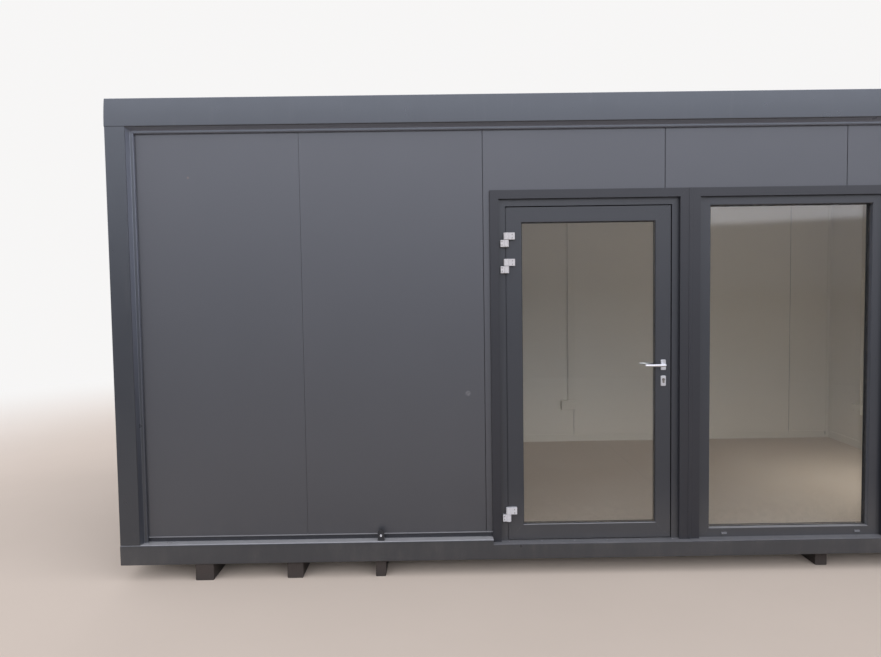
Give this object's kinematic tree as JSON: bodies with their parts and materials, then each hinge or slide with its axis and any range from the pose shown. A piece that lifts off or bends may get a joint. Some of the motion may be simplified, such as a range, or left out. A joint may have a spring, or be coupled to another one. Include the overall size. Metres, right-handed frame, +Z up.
{
  "type": "portable site cabin",
  "caption": "Flat-roofed portable site cabin with a rolled steel frame, recessed panel walls, a glazed outward-opening door and a full-height window.",
  "frame": {"origin": "centre of the plan, at the underside of the timber blocks", "axes": "+X along the cabin's length, front wall with door and window towards -Y, +Z up"},
  "size_m": [6.058, 2.99, 2.9],
  "materials": {
    "frame_paint": "semi-gloss anthracite paint",
    "wall_paint": "satin anthracite coil coating",
    "inner_lining": "satin off-white lining",
    "trim_paint": "satin anthracite flashing",
    "profile_paint": "semi-gloss powder coat",
    "threshold_metal": "scuffed mill finish",
    "roof_metal": "weathered grey coating",
    "zinc": "galvanised",
    "deck_board": "raw chipboard",
    "floor_vinyl": "satin vinyl",
    "glass": "clear double glazing",
    "white_trim": "satin white",
    "hinge_white": "satin light grey",
    "handle_metal": "satin anodised",
    "lock_brass": "nickel plated",
    "black_plastic": "matt",
    "timber": "dark weathered sawn timber"
  },
  "bodies": {
    "root": {"base_rail_front": "frame_paint", "base_rail_rear": "frame_paint", "base_rail_left": "frame_paint", "base_rail_right": "frame_paint", "base_channels": "frame_paint", "corner_post_front_left": "frame_paint", "corner_post_front_right": "frame_paint", "corner_post_rear_left": "frame_paint", "corner_post_rear_right": "frame_paint", "roof_rail_front": "frame_paint", "roof_rail_rear": "frame_paint", "roof_rail_left": "frame_paint", "roof_rail_right": "frame_paint", "roof_sheet": "roof_metal", "ceiling_panels": "inner_lining", "floor_joists": "zinc", "underfloor_sheet": "zinc", "floor_deck": "deck_board", "floor_covering": "floor_vinyl", "floor_skirting": "white_trim", "front_wall_left": "wall_paint", "front_wall_over_openings": "wall_paint", "front_wall_mullion": "wall_paint", "front_wall_right": "wall_paint", "rear_wall_panels": "wall_paint", "left_end_panels": "wall_paint", "right_end_panels": "wall_paint", "base_drip_flashings": "trim_paint", "door_trim": "trim_paint", "window_trim": "trim_paint", "trim_cover_strip": "trim_paint", "door_frame": "profile_paint", "door_stop_casing": "profile_paint", "door_threshold": "threshold_metal", "window_sill_plate": "threshold_metal", "window_frame": "profile_paint", "window_glass": "glass", "window_inner_casing": "profile_paint", "window_drain_caps": "profile_paint", "hinge_frame_parts": "hinge_white", "cable_trunking": "white_trim", "socket_boxes": "white_trim", "earthing_lug": "black_plastic", "timber_blocks": "timber"},
    "door": {"door_leaf": "profile_paint", "door_glass": "glass", "door_glazing_beads": "profile_paint", "hinge_leaf_parts": "hinge_white", "door_lock_plates": "handle_metal", "lock_cylinder": "lock_brass"},
    "lever": {"door_lever": "handle_metal"}
  },
  "joints": [
    {"name": "door_swing", "type": "hinge", "parent": "root", "child": "door", "pos_m": [-0.661, -1.4415, 1.2], "axis": [0, 0, -1], "range_deg": [0, 95]},
    {"name": "handle_turn", "type": "hinge", "parent": "door", "child": "lever", "pos_m": [0.2945, -1.425, 1.271], "axis": [0, -1, 0], "range_deg": [0, 45], "stiffness_Nm_per_rad": 1}
  ]
}
